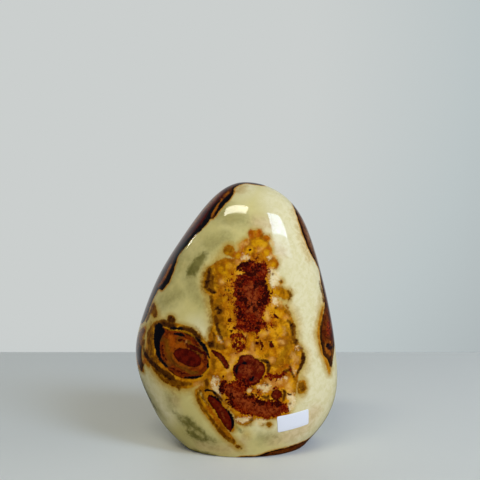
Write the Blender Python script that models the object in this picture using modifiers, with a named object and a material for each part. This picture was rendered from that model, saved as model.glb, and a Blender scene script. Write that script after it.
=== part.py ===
"""A polished polychrome jasper freeform: an upright palm-thick stone, ground flat underneath so
that it stands, with a small blank paper label stuck low on its front.

Lengths below are in millimetres. The scene is in metres with +Z up. The front faces -Y, and the
origin is the centre of the underside of the stone's bounding box.
"""

import math

import bmesh
import bpy
import numpy as np
from mathutils import Matrix

MM = 0.001

# The stone stands this tall, and its flat base starts to round off this far above the table.
HEIGHT = 160.0
RIM = 1.5

# Level sections from below the base cut to just under the apex: height, then how far the stone
# reaches left, right, front and back of the origin.
SECTIONS = (
    (-4.0, 31.7, 39.8, 26.6, 26.5),
    (0.0, 34.2, 42.8, 28.7, 28.8),
    (10.0, 43.1, 51.2, 33.2, 32.8),
    (25.0, 52.4, 59.4, 36.3, 35.8),
    (52.0, 61.5, 61.4, 37.3, 37.5),
    (80.0, 56.7, 57.6, 34.7, 36.3),
    (105.0, 46.2, 51.8, 30.7, 33.3),
    (125.0, 33.9, 45.7, 25.2, 27.8),
    (142.0, 21.7, 37.9, 17.7, 20.8),
    (154.0, 10.2, 25.9, 9.2, 12.3),
    (160.0, -5.4, 5.4, -1.3, 1.3),
)

# A level section is a superellipse, a little squarer than an ellipse.
SQUARENESS = 2.05

# Hand polishing leaves long shallow swells: waves round the stone, waves up it, and depth.
SWELLS = (
    (3, 1.6, 0.0030, 0.7),
    (5, 2.3, 0.0016, 2.1),
)

SEGMENTS = 64
RINGS = 56
# The lowest rings close the flat base.
BASE_RINGS = 3
# Rings crowd towards the base by this power, so that they follow its small rim.
CROWDING = 1.6

LABEL_LENGTH = 20.0
LABEL_WIDTH = 10.0
LABEL_THICKNESS = 0.25
LABEL_GAP = 0.3
LABEL_CELLS = (10, 5)
# The label's middle, the way that it faces (degrees to the right of the front, and down from
# level), and how far its right end is turned up.
LABEL_PLACE = (33.2, -30.3, 22.4)
LABEL_HEADING = 23.0
LABEL_DIP = 11.5
LABEL_TURN = 7.5
# The flat label starts this far off the stone and is pressed on to it.
LABEL_LIFT = 8.0


def spline(knots, values):
    """A natural cubic spline through the points, as a function."""
    x = np.array(knots, float)
    y = np.array(values, float)
    step = np.diff(x)
    rows = len(x)
    matrix = np.eye(rows)
    right = np.zeros(rows)
    for i in range(1, rows - 1):
        matrix[i, i - 1 : i + 2] = step[i - 1], 2 * (step[i - 1] + step[i]), step[i]
        right[i] = 6 * ((y[i + 1] - y[i]) / step[i] - (y[i] - y[i - 1]) / step[i - 1])
    bend = np.linalg.solve(matrix, right)

    def value(at):
        i = int(np.clip(np.searchsorted(x, at) - 1, 0, rows - 2))
        along = at - x[i]
        slope = (y[i + 1] - y[i]) / step[i] - step[i] * (2 * bend[i] + bend[i + 1]) / 6
        cubic = (bend[i + 1] - bend[i]) / (6 * step[i])
        return y[i] + slope * along + bend[i] / 2 * along**2 + cubic * along**3

    return value


LOWEST = SECTIONS[0][0]


def climb(height):
    """0 at the lowest section and 1 at the apex, where it slows so that the top comes out round."""
    return 1 - math.sqrt((HEIGHT - height) / (HEIGHT - LOWEST))


def height_at(climbed):
    return LOWEST + (HEIGHT - LOWEST) * (1 - (1 - climbed) ** 2)


KNOTS = [climb(section[0]) for section in SECTIONS]
REACH = [spline(KNOTS, [section[side] for section in SECTIONS]) for side in (1, 2, 3, 4)]


def floored(height):
    """The height with everything under the table cut off flat, and a small round rim."""
    dip = max(RIM - abs(height), 0) / RIM
    return max(height, 0) + RIM / 4 * dip**2


def stone_point(climbed, turn, inwards=1.0):
    """The surface point at that climb and angle, seen from above; inwards 0 is the section's middle."""
    left, right, front, back = [reach(climbed) for reach in REACH]
    across = math.cos(turn)
    deep = math.sin(turn)
    radius = (abs(across) ** SQUARENESS + abs(deep) ** SQUARENESS) ** (-1 / SQUARENESS)
    for around, up, depth, start in SWELLS:
        radius *= 1 + depth * math.sin(around * turn + start) * math.sin(2 * math.pi * up * climbed)
    x = (right - left) / 2 + inwards * (left + right) / 2 * radius * across
    y = (back - front) / 2 + inwards * (front + back) / 2 * radius * deep
    return x * MM, y * MM, floored(height_at(climbed)) * MM


def make_stone():
    """A UV sphere whose rings are laid on the stone's level sections, the last few on its base."""
    mesh = bpy.data.meshes.new("stone")
    shape = bmesh.new()
    bmesh.ops.create_uvsphere(shape, u_segments=SEGMENTS, v_segments=RINGS, radius=1)
    side_rings = RINGS - BASE_RINGS
    for vertex in shape.verts:
        ring = math.acos(max(-1, min(1, vertex.co.z))) / math.pi * RINGS
        turn = math.atan2(vertex.co.y, vertex.co.x)
        climbed = max(0, 1 - ring / side_rings) ** CROWDING
        inwards = min(1, (RINGS - ring) / BASE_RINGS)
        vertex.co = stone_point(climbed, turn, inwards)
    bmesh.ops.recalc_face_normals(shape, faces=shape.faces)
    shape.to_mesh(mesh)
    shape.free()
    mesh.shade_smooth()
    return bpy.data.objects.new("stone", mesh)


def make_label(stone):
    """A flat sheet held off the stone, pressed straight on to it by a Shrinkwrap."""
    mesh = bpy.data.meshes.new("price_label")
    sheet = bmesh.new()
    cells_x, cells_y = LABEL_CELLS
    bmesh.ops.create_grid(sheet, x_segments=cells_x, y_segments=cells_y, size=0.5)
    for vertex in sheet.verts:
        vertex.co.x *= LABEL_LENGTH * MM
        vertex.co.y *= LABEL_WIDTH * MM
    sheet.to_mesh(mesh)
    sheet.free()
    label = bpy.data.objects.new("price_label", mesh)
    label.matrix_world = (
        Matrix.Translation([place * MM for place in LABEL_PLACE])
        @ Matrix.Rotation(math.radians(LABEL_HEADING), 4, "Z")
        @ Matrix.Rotation(math.radians(90 + LABEL_DIP), 4, "X")
        @ Matrix.Rotation(math.radians(LABEL_TURN), 4, "Z")
        @ Matrix.Translation((0, 0, LABEL_LIFT * MM))
    )
    press = label.modifiers.new("press", "SHRINKWRAP")
    press.target = stone
    press.wrap_method = "PROJECT"
    press.use_project_z = True
    press.use_positive_direction = False
    press.use_negative_direction = True
    press.wrap_mode = "ABOVE_SURFACE"
    press.offset = LABEL_GAP * MM
    paper = label.modifiers.new("paper", "SOLIDIFY")
    paper.thickness = LABEL_THICKNESS * MM
    paper.offset = 1
    return label


def principled(name, color, roughness):
    material = bpy.data.materials.new(name)
    material.use_nodes = True
    shader = material.node_tree.nodes["Principled BSDF"]
    shader.inputs["Base Color"].default_value = (*color, 1)
    shader.inputs["Roughness"].default_value = roughness
    shader.inputs["Metallic"].default_value = 0
    return material


def main():
    for old in list(bpy.data.objects):
        bpy.data.objects.remove(old)
    collection = bpy.data.collections.new("jasper_freeform")
    bpy.context.scene.collection.children.link(collection)
    stone = make_stone()
    stone.data.materials.append(principled("polished_jasper", (0.56, 0.42, 0.19), 0.08))
    label = make_label(stone)
    label.data.materials.append(principled("label_paper", (0.80, 0.80, 0.86), 0.6))
    for piece in (stone, label):
        collection.objects.link(piece)


main()
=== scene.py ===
"""Looks for the polished polychrome jasper freeform: the stone's fine surface, its pattern and
polish, the paper label, and a pale table in soft daylight.

Lengths are in millimetres and become metres where a mesh, a light or the camera is made. The
front faces -Y. Colours are written as sRGB values from 0 to 255.
"""

import math
from collections import defaultdict

import bpy
import numpy as np
from mathutils import Matrix, Vector
from mathutils.bvhtree import BVHTree


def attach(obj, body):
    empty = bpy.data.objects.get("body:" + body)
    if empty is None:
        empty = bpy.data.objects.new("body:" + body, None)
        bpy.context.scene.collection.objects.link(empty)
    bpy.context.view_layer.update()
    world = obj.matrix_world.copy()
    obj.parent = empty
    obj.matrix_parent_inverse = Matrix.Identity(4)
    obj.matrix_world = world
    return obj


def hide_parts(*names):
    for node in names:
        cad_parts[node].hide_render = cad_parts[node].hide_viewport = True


MM = 0.001

# The stone's own form, as in the solid that this surface stands for. Its lower edge is rounded by
# RIM. A section is a height, then how far it reaches left, right, front and back.
HEIGHT = 160.0
RIM = 1.5
SECTIONS = (
    (-4.0, 31.7, 39.8, 26.6, 26.5),
    (0.0, 34.2, 42.8, 28.7, 28.8),
    (10.0, 43.1, 51.2, 33.2, 32.8),
    (25.0, 52.4, 59.4, 36.3, 35.8),
    (52.0, 61.5, 61.4, 37.3, 37.5),
    (80.0, 56.7, 57.6, 34.7, 36.3),
    (105.0, 46.2, 51.8, 30.7, 33.3),
    (125.0, 33.9, 45.7, 25.2, 27.8),
    (142.0, 21.7, 37.9, 17.7, 20.8),
    (154.0, 10.2, 25.9, 9.2, 12.3),
    (160.0, -5.4, 5.4, -1.3, 1.3),
)
# How square a level section is (2 is an ellipse), and its slight swells: waves around, waves up,
# how deep they are as a share of its reach, and the angle that they start at.
SQUARENESS = 2.05
SWELLS = (
    (3, 1.6, 0.0030, 0.7),
    (5, 2.3, 0.0016, 2.1),
)

# The fine surface. Its columns crowd towards the front, where the pattern is finest, and its rows
# towards the base.
COLUMNS = 300
ROWS = 322
BASE_ROWS = 6
FRONT_CROWDING = 0.5
BASE_CROWDING = 1.15

# What a pattern field reads where none of its marks is near, how far round a mark it is worked out,
# and what stands for the squared length of a stretch that has none.
FAR = 60.0
MARGIN = 12.0
TINY = 1e-9

# Marks in the stone, by field. A mark is a run of points, and each point takes three numbers: the
# two of its place, and the mark's width there in mm. A run of one point is a round spot. Places on
# the front are x and height, seen straight from the front.
FRONT_MARKS = {
    "pale": (
        (22, 152, 16, 32, 138, 24, 40, 118, 30, 46, 95, 34, 50, 66, 26, 54, 40, 34, 44, 14, 30),
        (3, 156.5, 9, 8, 157.5, 9), (24, 105, 12, 28, 118, 12), (-18, 74, 4, -22, 79, 4),
        (14, 22, 6, 30, 20, 10), (20, 133, 14, 26, 124, 10),
        (-56, 44, 14, -50, 34, 16, -42, 24, 12),
    ),
    "tan": (
        (22, 11, 8, 36, 15, 10, 46, 26, 8), (-20, 7, 7, -6, 6, 7, 4, 12, 4),
        (12, 137, 7, 19, 135, 6), (21.6, 124.6, 3, 24, 121.2, 5.5, 26, 119.2, 6), (-36, 34, 6),
    ),
    "haze": (
        (-24, 114, 6, -30, 116, 4), (-38, 36, 6, -38, 30, 6),
        (-21, 119, 6, -26, 110, 9, -25, 100, 10, -19, 92, 8), (-9, 142, 12, -3, 141, 12, 4, 138, 9),
        (-31, 124, 5, -36, 112, 9, -42, 99, 6), (-6, 128, 9, -16, 124, 9), (-42, 90, 8, -33, 96, 8),
        (-31, 23, 8, -24, 15, 12, -14, 10, 7), (15, 13, 8, 22, 14, 6),
    ),
    "smudge": (
        (-17.6, 118.2, 1.4, -19.8, 116.6, 4.4, -22.2, 113.2, 6, -24.8, 110, 6, -27, 107, 2),
        (-35.6, 26.4, 0.8, -30, 21.5, 1.6, -27, 18, 2.4),
        (-30.5, 24.4, 1, -27, 22.5, 3, -22.5, 18, 3, -17.5, 14.2, 1.8, -12.6, 11.3, 0.6),
        (-26.5, 14.6, 3, -21, 12, 2.8, -17, 11, 1.4),
        (-0.8, 21.4, 1.4, 1.2, 20, 1.9, 2.8, 18.2, 0.6),
    ),
    "stain": (
        (-17, 110, 4, -18.8, 103, 4, -17, 96, 4, -15, 88, 3.4, -14, 80, 4, -13, 73, 6),
        (-6.5, 121, 4, -11, 116, 3), (0.4, 154.6, 3, 3, 156.5, 3.6, 5, 157.4, 2),
        (24.5, 101, 3, 31, 97, 3, 29, 92, 4, 32, 86, 5, 35, 78, 5, 35, 72, 4),
        (38, 66, 3, 41, 60, 4, 40, 54, 4, 38, 48, 4), (38, 42.5, 7, 37.5, 37, 5), (6.4, 16.2, 4),
        (-24.5, 42, 4, -22.6, 36, 4, -19.6, 30, 2),
        (-53, 57, 4, -50, 51, 4, -45, 45, 4, -38, 41.6, 4, -31, 41, 5, -24, 43, 4),
        (-1, 9.5, 4, 1.5, 7.5, 4, 4.5, 5, 2), (-48.3, 84.2, 4, -48, 82, 4),
        (-52, 74, 3, -50, 79, 3, -44, 81, 3), (-19, 47, 5, -22, 44, 4), (-16, 68, 5, -14, 74, 5),
        (52, 92, 4, 49, 80, 4, 46.6, 71, 4, 49, 62, 3, 53, 54, 3),
        (34, 143, 2, 38, 133, 3, 40, 124, 3, 43.5, 115, 3), (31, 68, 5, 34, 60, 6, 32, 50, 5),
    ),
    "ochre": (
        (51.6, 86, 1.4, 49.2, 77, 2.4, 48.8, 72, 2.6, 49.2, 67, 2.2, 50, 63, 1.8, 51.6, 58.4, 2.2,
         53.6, 54.6, 2.4, 55, 49.4, 2.4, 55.3, 46.4, 1),
        (-48.9, 87.4, 2, -48.6, 84, 5, -47.8, 82, 3),
        (-17, 40.6, 5, -12, 35, 9, -6, 26, 8, -2.6, 19.4, 4), (-3.9, 121.2, 6.4, -1.6, 118.4, 3),
        (25.5, 103, 2.8), (22.5, 99, 5, 25, 97.5, 5.6, 28.8, 95.5, 5.4), (38, 44, 5, 38, 41, 5.4),
        (19, 21.9, 3.4), (15.3, 22.2, 1.4), (-37.3, 80.8, 5),
        (-22.6, 41.6, 2, -21, 36.6, 3.6, -17.4, 31, 5, -13, 25.2, 5.4, -8.4, 19, 5.6, -4, 13.6,
         4.6, -1, 10.6, 2.6), (1, 8, 2.8), (-20.5, 42.6, 3, -16, 44.5, 5, -8, 38, 3),
    ),
    "olive": (
        (-10.6, 92, 4, -9.6, 86, 5, -9, 80, 5, -7, 74, 4), (30, 67, 6, 32, 72, 4), (-3.8, 121, 4),
        (-9, 112.4, 3),
        (-15.4, 111, 2, -13, 109.4, 2.6, -11.4, 107, 2.4, -12, 103.6, 3.6, -11.6, 100.4, 3),
        (-17.6, 108, 2, -18.6, 103, 2.4, -17.6, 98.6, 2), (-14, 77, 2, -13.4, 82, 2, -14, 88, 2),
        (-39.8, 68.6, 1.6, -39.6, 64.6, 2.6, -38.4, 60, 2), (-10, 93.5, 4),
        (23.4, 100.4, 1.2, 27.5, 99.2, 1.4, 30.8, 96.2, 1.8, 30.4, 93.8, 1.6, 27, 93.6, 1),
        (26.4, 96.8, 2.6, 28.5, 95.6, 2.6), (28.4, 86.3, 1.6),
        (31, 66.4, 5, 28, 62.6, 5.4, 25, 58.4, 5, 22.4, 55.6, 3), (29.6, 58, 4, 33.6, 63.4, 3),
        (28.6, 78, 3, 29.6, 73, 3), (34.4, 62.4, 3.4, 35.4, 58, 3),
        (34.4, 47, 0.8, 33.2, 38.2, 0.8), (37.8, 43, 4.4, 38, 41, 4.6),
        (-16.5, 48.3, 2.6, -16.4, 45, 2.4, -17.6, 43, 1.4), (-13.8, 49.6, 2),
        (18, 62.2, 2, 14.6, 61.2, 1), (19, 22, 2.6), (15.3, 22.2, 1),
        (1, 23.6, 1, 3.4, 22.6, 1.6, 7.5, 23.2, 1.2), (24, 82, 1, 27.4, 80, 1.6, 30.4, 80.4, 1.6),
        (-49.4, 76, 2.4, -49.6, 69, 3, -49.2, 62, 3, -47, 56.4, 3),
        (-13.6, 94, 1.6, -13.4, 90.6, 1.6, -10.6, 79, 2), (-22, 76.4, 1.4, -17.4, 70, 1.6),
        (24, 90, 1, 28, 88.4, 1.4, 31, 84, 1.4), (32, 79, 2, 31.6, 74, 2),
        (-13, 62, 1, -12.4, 58, 2, -13, 54, 2), (36.6, 66.4, 1, 38.4, 62.4, 1),
    ),
    "burnt": (
        (9.2, 130.4, 4.4, 9.4, 128, 3.6), (13.2, 131, 4.4, 13.2, 129, 4),
        (17.2, 127.6, 3.2, 19, 127.8, 2), (5.9, 126.3, 2.4), (3.8, 122.6, 3),
        (-0.9, 118, 1, 0, 119.8, 1.2, 2, 120, 1.2, 3.5, 118.6, 1.2, 3, 116.6, 1.2, 1, 115.9, 1),
        (15.4, 119, 1, 15.8, 121.4, 1.4, 18.4, 122.4, 2, 19.9, 120.4, 1.8, 19.2, 118.2, 1.4),
        (-6, 113.6, 2), (-2.5, 115.4, 1.6), (22, 115.4, 2, 23.7, 112.8, 1.6), (13.2, 122.2, 1.4),
        (12.8, 119.4, 1.6, 9.4, 118, 1.2), (-37.6, 71, 3, -36.4, 67.6, 3.4),
        (-34, 66.2, 2.6, -31.8, 67.4, 2), (-20.6, 56.6, 3, -23.6, 57, 2.6),
        (-42.6, 62, 1, -40.6, 58.6, 1.2, -38, 55.6, 1), (29, 55.5, 1.6, 31.6, 53.6, 1.4),
        (7.6, 73.4, 1.2, 8.6, 69, 1, 7.8, 66, 1), (14.6, 39.4, 2, 9.5, 42.5, 3),
        (-17.8, 34, 1, -13.6, 29, 1.2, -9.6, 23.4, 0.8), (-3.6, 79.4, 2, -2.6, 88, 1.6),
        (21.6, 47, 2, 26, 43.4, 2), (-4, 105.8, 1.4, -1.6, 104, 1.4, -3.4, 101, 1),
        (22, 84, 1.4, 19.6, 80.6, 1.4), (9.6, 27.2, 1.2, 6, 26.8, 1.2, 2, 28.4, 1),
    ),
    "salmon": (
        (25.2, 70, 2.2, 27, 68.6, 2.4), (2.4, 62.9, 1, 5, 64, 1.2, 9, 63.3, 1.4, 12, 61.4, 1.2),
        (32.6, 61.8, 2, 34.6, 58.6, 3), (20.3, 59.4, 2.6), (-3.5, 49.8, 2),
        (22, 46, 2, 25, 46.4, 3), (-53, 66, 1, -52, 61, 1.4, -50.6, 57.6, 1),
        (-20, 46, 2, -23, 44.6, 1.4),
        (7.3, 127.8, 1, 7.2, 124.6, 1.4, 4, 125, 2, 2, 123.4, 2, 1.8, 121.6, 1.6),
        (20.6, 126.4, 1, 21, 123.6, 1.4), (13, 120.9, 1.6, 16.2, 123.6, 1), (-3.7, 112.4, 1),
        # On the next line, the spot at -28.6, 69 in the big orb is a painted glint.
        (1.4, 114.4, 2), (-28.6, 69, 0.8), (-8, 103.6, 3), (24.2, 101.6, 1.8),
        (19.6, 118, 2, 22.4, 117.4, 2), (17.6, 86, 2.4, 18, 82.6, 2.4),
        (27.6, 77, 1.2, 27.6, 73.6, 1.2), (28.9, 82.8, 2.2),
        (21.4, 90.4, 2, 24.6, 91.4, 2, 26, 90, 1), (9.4, 68.6, 1.6, 9.2, 65.6, 1.8),
        (5.4, 73.4, 1.4), (32.6, 54.4, 2, 33.4, 51.6, 1.8), (-1, 62, 2, -4.4, 53.4, 1.6),
        (-4.4, 69.6, 1.6), (20, 43.5, 3, 19, 47.4, 2.4), (2.4, 108, 2.2), (30, 44, 3, 31.4, 36, 3),
        (29, 47.6, 2), (17.6, 75, 2, 14.6, 73.4, 1.4), (2.6, 23.6, 1.6, 7.4, 25.6, 1.6),
    ),
    "gold": (
        (10.4, 125.4, 4, 13, 126, 4.4, 15.8, 124.6, 4), (7.7, 121.4, 5), (17.6, 119.8, 3),
        (1.3, 118, 2.6), (-5.2, 119.4, 1.6), (-4.6, 112.4, 3.4), (-8.6, 110.4, 3, -6, 108.4, 3),
        (21, 110.8, 2.4, 21.6, 113, 2.8), (-6.5, 93.6, 2.2, -5, 95.4, 1),
        (-4.8, 99.4, 1.4, -3, 97.4, 1.4), (-3.4, 106.6, 1.6, -5.6, 104.4, 1.6),
        (1.8, 108.4, 1.4, 4, 108.7, 1), (8, 44.2, 1, 11, 44, 1.4, 14, 44.6, 1), (2.7, 46.4, 1.2),
        (18, 104, 1, 19.2, 99.6, 1.2, 20.8, 96.6, 1.4),
        (-3.4, 91.4, 1.4, -2.4, 86, 1, -4, 79.6, 1.4), (25.4, 75.6, 3),
        (21.6, 97.8, 2.2, 24, 96.8, 2), (-2.8, 46.8, 0.9, -0.6, 51, 0.8),
        (14.6, 80.4, 1, 16.4, 83.4, 1.2), (-20.6, 38.6, 1, -17.8, 33, 1.6),
        (-40, 75.7, 0.4, -35, 75.1, 0.4, -29.6, 74.9, 0.5, -24, 72.9, 0.6, -19.8, 68, 0.6),
        (-16, 61.6, 0.3, -14.8, 58.6, 0.6, -15.4, 54.4, 0.8, -18, 51, 0.9),
        (-18, 51, 0.9, -20.8, 48.4, 0.7, -25, 47.4, 0.4, -29, 47.4, 0.3),
        (-3.4, 74.4, 1.6, -4.4, 77, 1.6), (22, 87.6, 2, 24, 85.6, 1.4), (0.8, 68.2, 1.2),
        (-5.6, 49.2, 0.8, -8.6, 51, 1.4),
    ),
    "cream": (
        (4.4, 118.2, 0.8, 4.8, 116.8, 1.4, 7, 117.4, 0.6), (18.9, 117, 0.8),
        (20.6, 109, 3, 22.4, 105.6, 5.4, 21.4, 101.4, 2.6), (22, 93.2, 2.8, 22.4, 91.6, 2.2),
        (-9.4, 72.6, 0.3, -8.3, 70, 0.3), (18.4, 45, 1, 17.4, 43.4, 2.2, 16.2, 41.4, 1),
        (-10.8, 49.2, 1, -11, 47.6, 1.1), (-10.4, 45, 0.8, -8.6, 40.9, 0.7),
        (35.2, 66.3, 0.9, 36.3, 65, 0.7), (13, 23.6, 3.2, 16, 24.2, 1.6), (7.5, 42.6, 0.9),
        (33.6, 51.9, 0.8), (27.8, 48.7, 0.8, 24.4, 48.2, 0.6),
        (30.6, 30, 3, 33, 34.6, 4, 30.6, 37.6, 2.4),
        (-12.6, 49, 1, -12.6, 46, 2, -11, 42.4, 1.8, -8.6, 39.2, 0.8),
        (1, 25, 1.4, 4, 24.6, 2.4, 8, 26, 1.6), (13, 44.2, 1.4, 15.4, 43.6, 2),
        # The stripe below, in the lens under the big orb, is a painted glint.
        (-10.4, 32.4, 0.7, -8, 27.6, 0.7),
    ),
    "rims": (
        (10.9, 132, 0.8, 10.9, 128.6, 0.6, 8.2, 127, 0.8, 8.2, 124, 0.6),
        (15.4, 130.8, 0.8, 15, 127.6, 0.7, 18.4, 125.4, 0.7, 18.4, 123.6, 0.8),
        (5.2, 120.8, 0.9, 5.8, 123.2, 0.7, 8.4, 124, 0.6, 10.6, 122.2, 0.8, 10.4, 119.6, 0.8),
        (5.4, 119.6, 0.8, 7.4, 118.6, 0.8, 9.6, 118.4, 0.8),
        (12, 117, 0.8, 13.8, 119.4, 0.8, 15, 117.6, 0.7),
        (-6.9, 116, 1, -4, 116.2, 0.8, -2, 114.2, 0.8, -1.4, 111.4, 0.7),
        (-11.9, 111.2, 1.2, -11, 114, 1, -8, 115, 0.8, -6.6, 112.6, 0.7, -7, 109.6, 0.6),
        (19.4, 114.6, 0.7, 20.6, 116.2, 0.7, 23.4, 115, 0.9, 23.2, 111.4, 0.8, 21, 109.6, 0.7),
        (-10.8, 102.6, 0.8, -10.8, 105.4, 0.9, -9, 106.2, 0.9, -7.2, 105.4, 0.8),
        (-6.4, 105.8, 0.5, -6, 102.6, 0.6, -8.4, 101.4, 0.6, -10.4, 103, 0.5),
        (-11.6, 88, 0.5, -10, 89.2, 0.7, -7.6, 88.4, 0.6, -6.4, 86.4, 0.4),
        (-11.8, 86.6, 0.4, -10.6, 84.8, 0.5, -8.4, 84.4, 0.5), (17.6, 72.4, 0.7, 32, 70.4, 1.2),
        (22, 79, 0.6, 22.4, 75, 0.6, 24, 71.8, 0.5),
        (20.4, 66.6, 0.3, 22.6, 65.4, 0.5, 23.4, 62, 0.5),
        (24, 68, 0.5, 26, 66.8, 0.6, 28.4, 67.6, 0.5, 29, 69.8, 0.4),
        (0, 27.6, 0.5, -0.4, 24.8, 0.6, 1.4, 22.6, 0.8, 4, 22, 0.9, 6.6, 23, 0.8),
        (6, 42.6, 0.5, 7.4, 43.8, 0.6, 10.6, 43.8, 0.7, 12, 42, 0.6, 10, 40.9, 0.5),
        (-20.4, 45.8, 0.5, -17.6, 47.4, 0.6, -14.6, 44, 0.5),
        (28.6, 89.4, 0.5, 30.2, 86.4, 0.6, 31.2, 83.2, 0.6),
        (6.4, 73.8, 0.4, 6.4, 70, 0.5, 7.2, 65.4, 0.4), (10.4, 73.8, 0.5, 11, 65.6, 0.5),
        (29.4, 57.4, 0.5, 28.4, 60.8, 0.6, 30.4, 64.4, 0.6, 34, 64.6, 0.5),
        (20, 56.4, 0.5, 24, 55.4, 0.6, 26.6, 57.4, 0.5),
    ),
    "brown": (
        (-14.4, 95.6, 1, -13.8, 92.5, 1.4, -13.6, 89.6, 1.2, -12.4, 86.4, 0.9),
        (-11.8, 84, 1.2, -10.9, 80.6, 1.8, -10.4, 77, 2, -9.4, 74.6, 1.7, -7.2, 70.8, 0.8),
        (-15, 110, 1.8, -14.8, 106, 4, -15, 102, 4.6, -14, 99, 3.2, -12, 97.8, 1.6),
        (-36.9, 62.6, 0.6, -36.8, 59, 1, -34.6, 55.9, 1, -31, 54.2, 0.8),
        (-33, 70.2, 1.6, -31, 69.8, 1.8), (-27, 69.4, 1.2, -25.4, 66.8, 2.4, -23.4, 65.6, 2.2),
        (-28.4, 53, 1.2, -25.2, 51.9, 2, -22, 52.2, 1.2),
        (-14.4, 68, 3.4, -8.8, 67.2, 3, -6.8, 66.6, 1.4), (-12.5, 74.8, 0.9, -12.2, 70, 1.9),
        (29.6, 80.8, 1.2, 31.4, 79.4, 2.2, 32.5, 76.6, 2.6, 33, 70.2, 2), (34.5, 68.4, 3),
        (36, 65.4, 0.9, 37.6, 63.8, 1.2, 38.7, 60.6, 1.8, 38.5, 57.2, 2, 37, 54, 1.6),
        (37, 54, 1.6, 35, 50, 0.4), (37.6, 43.6, 3.2, 38.2, 41.2, 3.2),
        (29.6, 97.6, 0.5, 31, 96, 0.9, 31.2, 94.4, 0.8, 29.8, 93.2, 0.5), (25.6, 103.2, 1.2),
        (-16.8, 48, 1.6, -16.4, 45.6, 1.6), (-37.3, 80.8, 4.6),
        (-49, 87.4, 1.6, -48.6, 84.6, 3.6, -47.8, 82, 2.4),
        (-47.4, 76, 1.6, -45.6, 77.6, 2.6, -42, 78.8, 2.6, -38.6, 78.6, 2.8, -35.4, 77.4, 2),
        (-31, 77.2, 1.6, -28, 76.8, 2.2, -24.6, 75.4, 2.6, -22, 73, 2.4, -20.4, 71, 2),
        (-50, 74.4, 1, -51.2, 70.4, 1.4, -51.4, 65, 1.3, -50.6, 60, 1.3, -48.6, 56, 1.4),
        (-48.9, 72.6, 1, -49.4, 66, 1, -48.4, 60, 1),
        (-54.6, 67, 0.8, -54.7, 62, 1.2, -53.6, 57.6, 1.6),
        (-52.6, 60.6, 1.6, -50.6, 56.8, 2.6, -46, 52.6, 3, -41.5, 49, 3.2, -36.5, 46.4, 2.6),
        (-36.5, 46.4, 2.6, -31, 45, 2.2, -26, 45.4, 1.6),
        (-48, 51.8, 0.8, -44, 47.4, 1, -41.4, 45.4, 1.2, -37, 43.9, 1.2, -33.2, 43.2, 1.3),
        (-32.7, 43, 1.4, -32.7, 41, 1),
        (-20.2, 41.6, 1, -21.7, 38.4, 1.3, -21.2, 35.2, 1.3, -19.6, 32.2, 1.3, -17, 29, 1.3),
        (-17, 29, 1.3, -14.8, 26, 1.2, -12.4, 22, 1.2, -6.8, 15.4, 1.8),
        (-6.8, 15.4, 1.8, -4.4, 12.8, 2.4, -1.6, 11.2, 2.2),
        (-18.4, 40, 0.9, -19, 37.8, 1, -17.8, 35.8, 1, -15.6, 33.6, 0.7), (1, 8, 1.7),
        (8.4, 24.8, 1.7, 9.4, 25.8, 1), (27, 50.6, 1.2, 28.5, 52.6, 2.4, 30.6, 53, 1.4),
        (16, 38.4, 2, 18.4, 37.6, 1.6), (27.4, 41.4, 1.2, 27.8, 38.6, 1.8, 27, 35.8, 1.4),
        (22.8, 88.6, 1), (28.2, 86.4, 1), (19.4, 69.8, 1.2, 20, 67.8, 2.4), (20.9, 107.5, 1),
        (31, 33.3, 1.1), (17.8, 45.4, 1), (3, 6.6, 0.4),
        (49.6, 101, 0.5, 51.2, 95, 0.7, 52.4, 89, 0.8),
    ),
    "dark": (
        (53.3, 86.4, 0.9, 52.2, 82, 1.2, 50.9, 78, 1.3, 50.1, 74, 1.4, 50.1, 70, 1.3, 50.7, 66.4,
         1.3, 51.6, 63.4, 1.2, 51.4, 60.8, 1, 52.6, 58.8, 1.4, 54.6, 57, 1.6, 56, 54.6, 1.8, 56.6,
         51.6, 1.4), (-15.6, 109.4, 1, -15.6, 106.8, 1.6, -16.9, 101, 2.2),
        (-15.8, 98.9, 2, -12.2, 97.4, 1.2), (-10.3, 86.3, 1.7, -9.4, 87.2, 1.9),
        (-11.5, 88, 0.9, -10.3, 89, 1),
        (11.4, 59.9, 0.8, 16.6, 59, 1.8, 18.2, 57.4, 2, 18.5, 54.8, 1.6, 18, 52.4, 1.1),
        (-14.4, 68.2, 2.6, -13, 68, 1.8),
        (-47, 75.4, 1.4, -45, 76.6, 2.2, -41.6, 77.6, 2.2, -38.2, 77.6, 2.8, -36.4, 76.8, 1.8),
        (-32.4, 76.6, 1.6, -26, 75.8, 2, -23.2, 74, 2, -21.2, 71.4, 2),
        (-53.4, 59.4, 1.2, -51, 56.2, 2.2, -47, 53.2, 2.6, -43.4, 50.8, 2.6),
        (-43.4, 51.4, 2, -39.8, 49.3, 3.8, -36, 47.4, 2.2),
        (38.6, 61.4, 1, 38.7, 57.8, 1.8, 37.4, 54.4, 1.4, 35.6, 51.2, 0.7), (34.4, 68.4, 1.8),
        (-37.1, 80.8, 3), (-12.4, 40.8, 1.4, -10, 38.6, 1.8, -8, 36.6, 1),
        (-10.9, 80, 0.8, -10.3, 76.8, 1.4, -9.2, 74.6, 0.9),
        (31, 79.6, 0.7, 32.4, 76.8, 1, 32.7, 72.8, 1), (-5.9, 99, 1), (-4.2, 98.7, 1.1),
        (14.8, 38.6, 0.7, 16.6, 38, 0.9, 18.6, 38.6, 0.7), (26.4, 55, 0.8),
        (27.6, 52, 1.6, 29.4, 52.6, 1.2), (31, 54.8, 0.9, 31.2, 52.8, 0.8),
        (31.8, 51.8, 0.8, 33, 48.8, 0.5), (27.5, 41, 0.7, 27.9, 38.6, 1, 27.2, 36.4, 0.7),
        (34.8, 67, 0.5),
    ),
    "amber": (
        (-8.6, 149.6, 0.8, -10.5, 147.2, 1.4, -13.4, 142.2, 1.5, -14.4, 140, 0.8),
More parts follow.
